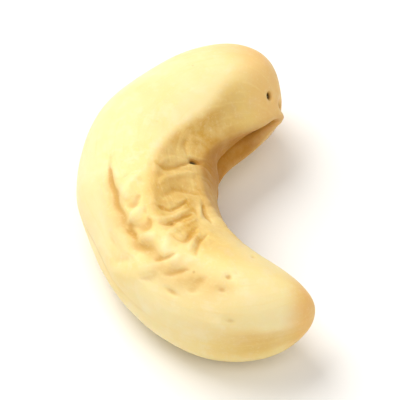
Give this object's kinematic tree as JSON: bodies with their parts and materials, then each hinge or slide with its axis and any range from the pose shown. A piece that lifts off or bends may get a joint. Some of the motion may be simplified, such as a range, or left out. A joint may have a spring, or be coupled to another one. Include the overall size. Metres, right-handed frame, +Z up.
{
  "type": "cashew kernel",
  "caption": "Peeled whole cashew kernel, curved, with a blunt end, a slim end, a seam all round and fine folds in its bend; it lies on its broad side.",
  "frame": {"origin": "middle of the kernel's box, on the surface that it lies on", "axes": "+Z up, +Y along the kernel's length towards its blunt end, +X out of its hollow side"},
  "size_m": [0.0174, 0.027, 0.0094],
  "materials": {
    "kernel_flesh": "waxy, soft sheen, pale cream"
  },
  "bodies": {
    "root": {"kernel": "kernel_flesh"}
  },
  "joints": []
}
